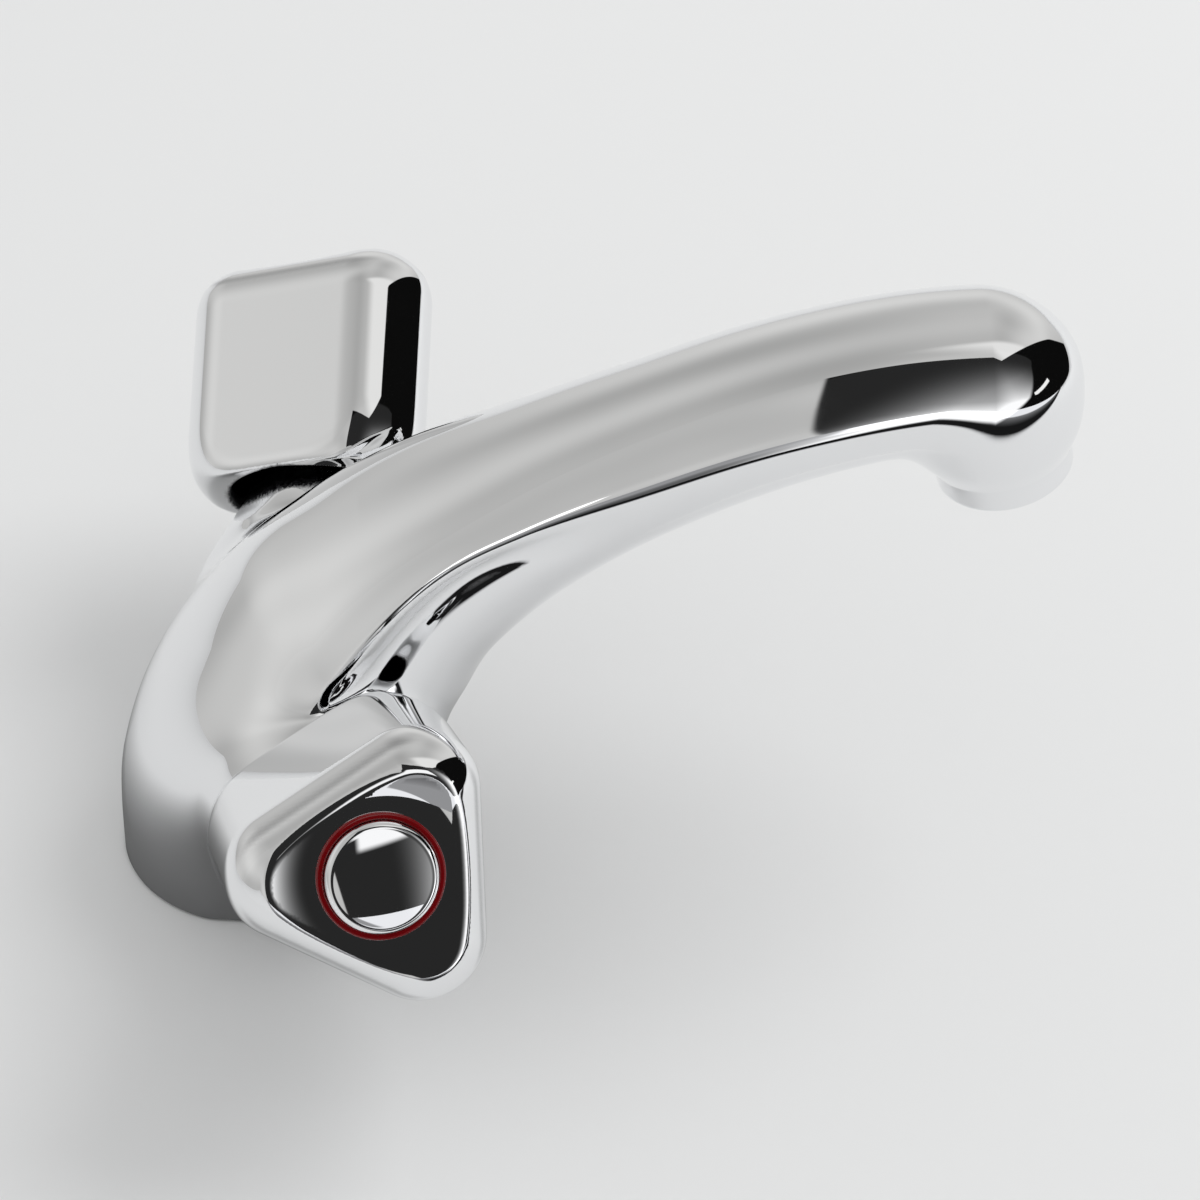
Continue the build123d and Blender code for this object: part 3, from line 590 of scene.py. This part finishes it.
# The plating: mirror chrome, its roughness wandering as the faint wipe marks of a hand-polished casting do
marks = bpy.data.node_groups.new("polishing marks", "ShaderNodeTree")
marks.interface.new_socket("Scale", in_out="INPUT", socket_type="NodeSocketFloat")
marks.interface.new_socket("Smooth", in_out="INPUT", socket_type="NodeSocketFloat")
marks.interface.new_socket("Dull", in_out="INPUT", socket_type="NodeSocketFloat")
marks.interface.new_socket("Roughness", in_out="OUTPUT", socket_type="NodeSocketFloat")
given = marks.nodes.new("NodeGroupInput").outputs
place = node(marks, "ShaderNodeTexCoord").outputs["Object"]
blotch = node(marks, "ShaderNodeTexNoise",
              {"Vector": place, "Scale": given["Scale"], "Detail": 5.0, "Roughness": 0.6}).outputs["Fac"]
wiped = between(marks, step_up(marks, blotch, 0.42, 0.72), given["Smooth"], given["Dull"])
node(marks, "NodeGroupOutput", {"Roughness": wiped})


def finish_of(name, colour, scale, smooth, dull, metallic=0.0):
    """A material whose roughness wanders between smooth and dull."""
    material = bpy.data.materials.new(name)
    material.use_nodes = True
    tree = material.node_tree
    shader = tree.nodes["Principled BSDF"]
    shader.inputs["Base Color"].default_value = (*colour, 1)
    shader.inputs["Metallic"].default_value = metallic
    group = node(tree, "ShaderNodeGroup", node_tree=marks)
    group.inputs["Scale"].default_value = scale
    group.inputs["Smooth"].default_value = smooth
    group.inputs["Dull"].default_value = dull
    tree.links.new(group.outputs["Roughness"], shader.inputs["Roughness"])
    return material


plating = ((0.87, 0.875, 0.885), 60, 0.015, 0.035, 1.0)
chrome = finish_of("polished chrome", *plating)
casting.data.materials.append(chrome)
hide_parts("tap_body")
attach(casting, "tap")

# Handles: three-lobed cups of cast and plated metal, raw inside and painted near black there as shade, pushed
# over the splined sleeves. Each skirt closes in to a round opening over its neck, and the face is dished
# inside a broad sloping shoulder. Lengths along a handle's axis are from the point where the two axes meet.
crest = 104.0
flat_reach, lobe_reach = 20.35, 28.3
shell_wall = 2.0
shoulder_fall, shoulder_slope = 6.2, np.radians(34)
dish_depth, dish_flat = 3.6, 11.5
skirt_end, opening_radius, opening_end = 54.5, 18.6, 62.0
boss_radius, boss_low, boss_high = 8.7, 79.05, 99.0


def three_lobed(u, w, corner):
    """Distance from a triangle of equal sides whose corners lie at the given radius, one of them along u."""
    u, w = -w, u
    half_side = corner * np.sqrt(3) / 2
    px, py = np.abs(u) - half_side, w + corner / 2
    swap = px + np.sqrt(3) * py > 0
    px, py = np.where(swap, (px - np.sqrt(3) * py) / 2, px), np.where(swap, (-np.sqrt(3) * px - py) / 2, py)
    px = px - np.clip(px, -2 * half_side, 0)
    return -np.hypot(px, py) * np.sign(py)


def handle_field(side):
    axis = neck_axes[side]
    back = np.array((0.0, 1.0, 0.0)) - axis * axis[1]
    back /= np.linalg.norm(back)
    up = np.cross(axis, back)

    def field(p, hollow=False):
        """Roughly the distance in mm from the handle's skin, or 1 on its inner side and 0 outside."""
        from_meeting = p - meeting
        u, w, l = from_meeting @ back, from_meeting @ up, from_meeting @ axis
        radius = np.hypot(u, w)
        corner = 2 * (lobe_reach - flat_reach)
        wall = three_lobed(u, w, corner) - (lobe_reach - corner)
        top = (l - crest + shoulder_fall) * np.cos(shoulder_slope) + wall * np.sin(shoulder_slope)
        outer = cut_to(wall, top, 5.0)
        bottom = np.hypot(np.maximum(radius - 20.6, 0), 0.62 * np.maximum(67.7 - l, 0)) - 8.2
        outer = cut_to(outer, bottom, 2.5)
        inner = cut_to(cut_to(wall + shell_wall, bottom + shell_wall, 3.0), l - crest + dish_depth + 2.4, 3.0)
        shell = cut_to(np.maximum(outer, -inner), skirt_end - l, 0.8)
        opening = np.maximum(radius - opening_radius, l - opening_end)
        if hollow:
            return (1 - eased(np.minimum(inner, opening), 0.5, 1.1)) * (l < crest - 5)
        shell = cut_to(shell, -opening, 0.8)
        outward = np.maximum(radius - dish_flat, 0)
        dish = crest - dish_depth + 0.02 * outward**2 - l
        shell = cut_to(shell, -dish, 1.1)
        boss = np.maximum(radius - boss_radius, np.maximum(boss_low - l, l - boss_high))
        return np.minimum(shell, boss)

    return field


# Plated outside. Inside the cup the surface is rough like raw unplated metal, and its near-black colour is
# painted shade
raw_and_shaded_inside = finish_of("plated outside, raw and painted shade inside", *plating)
raw_and_shaded_tree = raw_and_shaded_inside.node_tree
raw_and_shaded_shader = raw_and_shaded_tree.nodes["Principled BSDF"]
polished = raw_and_shaded_shader.inputs["Roughness"].links[0].from_socket
raw_and_shaded = node(raw_and_shaded_tree, "ShaderNodeAttribute", attribute_name="raw_and_shaded").outputs["Fac"]
chrome_colour, raw_and_shade_colour = (*plating[0], 1), (0.022, 0.022, 0.024, 1)
coloured = node(raw_and_shaded_tree, "ShaderNodeMix", {0: raw_and_shaded, 6: chrome_colour, 7: raw_and_shade_colour},
                data_type="RGBA").outputs[2]
raw_and_shaded_tree.links.new(coloured, raw_and_shaded_shader.inputs["Base Color"])
raw_and_shaded_tree.links.new(between(raw_and_shaded_tree, raw_and_shaded, polished, 0.55), raw_and_shaded_shader.inputs["Roughness"])
# The bore for the sleeve, the screw's way and the seats of the ring and cap, cut from the boss and face
seat_tool = [(0, 79), (6.5, 79), (6.5, 89.05), (2.05, 89.05), (2.05, 92.05), (3.64, 92.05), (3.64, 98.4),
             (10.7, 98.4), (10.7, 99.4), (12.1, 99.4), (12.1, 101), (0, 101)]
for name, side in (("hot", -1), ("cold", 1)):
    axis = neck_axes[side]
    field = handle_field(side)
    middle = meeting + axis * 80
    points, faces = skin(field, middle - 42, middle + 42, 0.65)
    handle = mesh_object(f"{name}_lever", points, faces)
    cut(handle, joined_shells("seat tool", [turned(seat_tool, meeting, axis)]))
    shade_by_field(handle, field)
    # The inner side mask, which carries the raw finish and the painted shade inside the cup
    inner_side = field(points_of(handle.data), hollow=True)
    handle.data.attributes.new("raw_and_shaded", "FLOAT", "POINT").data.foreach_set("value", inner_side)
    handle.data.materials.append(raw_and_shaded_inside)
    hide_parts(f"{name}_handle")
    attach(handle, f"{name}_handle")

# Caps: low domed buttons of plated plastic with a fine rounded shoulder, pushed into the middle of each dish
# over the screw.
shoulder = [(9.33 + 1.35 * np.cos(a), 1.12 + 1.35 * np.sin(a)) for a in np.radians(np.linspace(0, 79, 16))]
dome_radius, dome_height = 50.0, 3.35
dome = [(r, dome_height - dome_radius + np.sqrt(dome_radius**2 - r**2)) for r in np.linspace(9.45, 0.5, 24)]
cap_profile = [(0, 1.2), (9.4, -0.2), (9.48, -2.0), (10.6, -2.0), (10.68, -1.9), *shoulder, *dome,
               (0, dome_height)]
for name, side in (("hot", -1), ("cold", 1)):
    axis = neck_axes[side]
    points, faces = turned(cap_profile, meeting + axis * (crest - dish_depth), axis, 128)
    cap = recalculated(mesh_object(f"{name}_button", points, faces))
    cap.data.shade_smooth()
    cap.data.set_sharp_from_angle(angle=np.radians(50))
    cap.data.materials.append(chrome)
    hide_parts(f"{name}_cap")
    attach(cap, f"{name}_handle")

# Index rings: gloss plastic, red for hot and blue for cold, moulded with rounded edges and snapped in round
# each cap.
ring_profile = [(10.72, -1.0), (12.08, -1.0), (12.08, 0.35), (11.95, 0.55), (11.7, 0.6), (11.1, 0.6),
                (10.85, 0.55), (10.72, 0.35)]
for name, side, colour in (("hot", -1, (0.15, 0.0015, 0.003)), ("cold", 1, (0.004, 0.02, 0.15))):
    axis = neck_axes[side]
    points, faces = turned(ring_profile, meeting + axis * (crest - dish_depth), axis)
    ring = recalculated(mesh_object(f"{name}_ring", points, faces))
    ring.data.shade_smooth()
    ring.data.set_sharp_from_angle(angle=np.radians(50))
    ring.data.materials.append(finish_of(f"{name} ring plastic", colour, 200, 0.06, 0.16))
    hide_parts(f"{name}_index_ring")
    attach(ring, f"{name}_handle")

# Outlet ring: the turned and plated brass housing of the aerator, screwed up into the spout's mouth. Its
# lower edge is rounded and its inner lip holds the screen.
ring_section = [(9.5, 0.0), (12.7, 0.0), (13.2, 0.15), (13.45, 0.5), (13.5, 0.9), (13.5, 5.75), (13.35, 5.95),
                (12.0, 6.0), (12.0, 13.0), (10.5, 13.0), (10.5, 1.2), (9.5, 1.2)]
points, faces = turned(ring_section, outlet, outlet_axis, 128)
housing = recalculated(mesh_object("outlet_ring", points, faces))
housing.data.shade_smooth()
housing.data.set_sharp_from_angle(angle=np.radians(35))
housing.data.materials.append(chrome)
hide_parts("aerator_housing")
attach(housing, "tap")

# Outlet screen: two layers of stainless wire crossed as cloth in a rolled rim, held in the outlet ring over
# its inner lip.
steel = finish_of("plain steel", (0.56, 0.57, 0.58), 400, 0.22, 0.42, metallic=1.0)


def grown(name, tree, values):
    """The plain mesh that a Geometry Nodes tree makes, its inputs set by name."""
    piece = mesh_object(name, [(0, 0, 0)], [])
    grower = piece.modifiers.new("grown", "NODES")
    grower.node_group = tree
    for socket in tree.interface.items_tree:
        if socket.item_type == "SOCKET" and socket.in_out == "INPUT" and socket.name in values:
            grower[socket.identifier] = values[socket.name]
    bpy.context.view_layer.update()
    result = bpy.data.meshes.new_from_object(piece.evaluated_get(bpy.context.evaluated_depsgraph_get()))
    piece.modifiers.remove(grower)
    piece.data = result
    return piece


def new_tree(name, numbers):
    """A Geometry Nodes tree with the named sizes and a finish as its inputs, and its input sockets."""
    tree = bpy.data.node_groups.new(name, "GeometryNodeTree")
    tree.interface.new_socket("Geometry", in_out="INPUT", socket_type="NodeSocketGeometry")
    for number in numbers:
        tree.interface.new_socket(number, in_out="INPUT", socket_type="NodeSocketFloat")
    tree.interface.new_socket("Finish", in_out="INPUT", socket_type="NodeSocketMaterial")
    tree.interface.new_socket("Geometry", in_out="OUTPUT", socket_type="NodeSocketGeometry")
    return tree, node(tree, "NodeGroupInput").outputs


def end_tree(tree, given, parts):
    """Joins the parts as real mesh in the given finish."""
    joined = tree.nodes.new("GeometryNodeJoinGeometry")
    for part in parts:
        tree.links.new(part, joined.inputs[0])
    real = node(tree, "GeometryNodeRealizeInstances", {0: joined.outputs[0]}).outputs[0]
    finished = node(tree, "GeometryNodeSetMaterial", {"Geometry": real, "Material": given["Finish"]})
    node(tree, "NodeGroupOutput", {"Geometry": finished.outputs[0]})


cloth, given = new_tree("wire cloth", ("Reach", "Pitch", "Wire"))
half_count = sums(cloth, "FLOOR", sums(cloth, "DIVIDE", given["Reach"], given["Pitch"]))
count = sums(cloth, "MULTIPLY_ADD", half_count, 2.0, 1.0)
from_edge = product(cloth, half_count, product(cloth, given["Pitch"], -1.0))
row = node(cloth, "GeometryNodeMeshLine",
           {"Count": count, "Start Location": node(cloth, "ShaderNodeCombineXYZ", {1: from_edge}).outputs[0],
            "Offset": node(cloth, "ShaderNodeCombineXYZ", {1: given["Pitch"]}).outputs[0]})
section = node(cloth, "GeometryNodeCurvePrimitiveCircle", {"Resolution": 8, "Radius": given["Wire"]})
strand = node(cloth, "GeometryNodeCurvePrimitiveLine", {"Start": (-1, 0, 0), "End": (1, 0, 0)})
wire = node(cloth, "GeometryNodeCurveToMesh",
            {"Curve": strand.outputs[0], "Profile Curve": section.outputs[0], "Fill Caps": True})
position = node(cloth, "GeometryNodeInputPosition").outputs[0]
across = node(cloth, "ShaderNodeSeparateXYZ", {0: position}).outputs[1]
chord = sums(cloth, "SUBTRACT", product(cloth, given["Reach"], given["Reach"]),
             product(cloth, across, across))
chord = sums(cloth, "SQRT", sums(cloth, "MAXIMUM", chord, 1e-8))
stretch = node(cloth, "ShaderNodeCombineXYZ", {0: chord, 1: 1.0, 2: 1.0}).outputs[0]
warp = node(cloth, "GeometryNodeInstanceOnPoints",
            {"Points": row.outputs[0], "Instance": wire.outputs[0], "Scale": stretch}).outputs[0]
lifted = node(cloth, "ShaderNodeCombineXYZ", {2: product(cloth, given["Wire"], 1.6)}).outputs[0]
weft = node(cloth, "GeometryNodeTransform",
            {"Geometry": warp, "Translation": lifted, "Rotation": (0, 0, np.pi / 2)}).outputs[0]
rim_line = node(cloth, "GeometryNodeCurvePrimitiveCircle", {"Resolution": 96, "Radius": given["Reach"]})
rim_section = node(cloth, "GeometryNodeCurvePrimitiveCircle",
                   {"Resolution": 10, "Radius": product(cloth, given["Wire"], 2.2)})
rim = node(cloth, "GeometryNodeCurveToMesh",
           {"Curve": rim_line.outputs[0], "Profile Curve": rim_section.outputs[0]}).outputs[0]
end_tree(cloth, given, (warp, weft, rim))
screen = grown("outlet_screen", cloth, {"Reach": 0.0100, "Pitch": 0.00105, "Wire": 0.00013, "Finish": steel})
tilt = Vector((0, 0, 1)).rotation_difference(Vector(outlet_axis)).to_matrix().to_4x4()
screen.data.transform(Matrix.Translation(Vector((outlet + outlet_axis * 1.5) / 1000)) @ tilt)
screen.data.shade_smooth()
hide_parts("aerator_screen")
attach(screen, "tap")

# Fixing stud: a brass rod that hangs from the foot through the deck and takes the clamp plate and nut. It is
# threaded all along, its ridge rolled as one helix.
brass = finish_of("machined brass", (0.72, 0.50, 0.20), 300, 0.18, 0.34, metallic=1.0)
rod, given = new_tree("threaded rod", ("Length", "Radius", "Pitch"))
threaded_length = sums(rod, "SUBTRACT", given["Length"], given["Pitch"])
turns = sums(rod, "DIVIDE", threaded_length, given["Pitch"])
deep = product(rod, given["Pitch"], 0.36)
middle_line = sums(rod, "SUBTRACT", given["Radius"], deep)
helix = node(rod, "GeometryNodeCurveSpiral",
             {"Resolution": 32, "Rotations": turns, "Start Radius": middle_line, "End Radius": middle_line,
              "Height": threaded_length})
ridge = node(rod, "GeometryNodeCurvePrimitiveCircle", {"Resolution": 4, "Radius": deep})
thread = node(rod, "GeometryNodeCurveToMesh",
              {"Curve": helix.outputs[0], "Profile Curve": ridge.outputs[0], "Fill Caps": True}).outputs[0]
up = node(rod, "ShaderNodeCombineXYZ", {2: product(rod, given["Pitch"], 0.5)}).outputs[0]
thread = node(rod, "GeometryNodeTransform", {"Geometry": thread, "Translation": up}).outputs[0]
core_radius = sums(rod, "SUBTRACT", given["Radius"], product(rod, deep, 1.25))
core = node(rod, "GeometryNodeMeshCylinder",
            {"Vertices": 48, "Radius": core_radius, "Depth": given["Length"]})
to_middle = node(rod, "ShaderNodeCombineXYZ", {2: product(rod, given["Length"], 0.5)}).outputs[0]
core = node(rod, "GeometryNodeTransform", {"Geometry": core.outputs[0], "Translation": to_middle}).outputs[0]
end_tree(rod, given, (thread, core))
stud = grown("threaded_stud", rod, {"Length": 0.076, "Radius": 0.004, "Pitch": 0.00125, "Finish": brass})
stud.data.transform(Matrix.Translation((0, 0.012, -0.050)))
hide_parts("fixing_stud")
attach(stud, "tap")

# Inner pieces, whose CAD shapes stay: brass headparts and spindles, lapped discs, rubber and fibre seals,
# steel clips and screws, and the nylon of the splined sleeves and the flow insert.
rubber = finish_of("black rubber", (0.018, 0.018, 0.018), 500, 0.55, 0.8)
fibre = finish_of("red fibre", (0.30, 0.05, 0.025), 700, 0.6, 0.85)
ceramic = finish_of("lapped ceramic", (0.80, 0.79, 0.76), 300, 0.12, 0.25)
nylon = finish_of("white nylon", (0.72, 0.72, 0.69), 400, 0.35, 0.55)
finishes = {"chrome": chrome, "brass": brass, "steel": steel, "rubber": rubber, "fibre": fibre,
            "disc": ceramic, "insert_plastic": nylon}
for part in frame["record"]["subparts"]:
    solid = frame["nodes"][part["node"]]
    if not solid.hide_render:
        solid.data.materials.clear()
        solid.data.materials.append(finishes[part["material_slot"]])
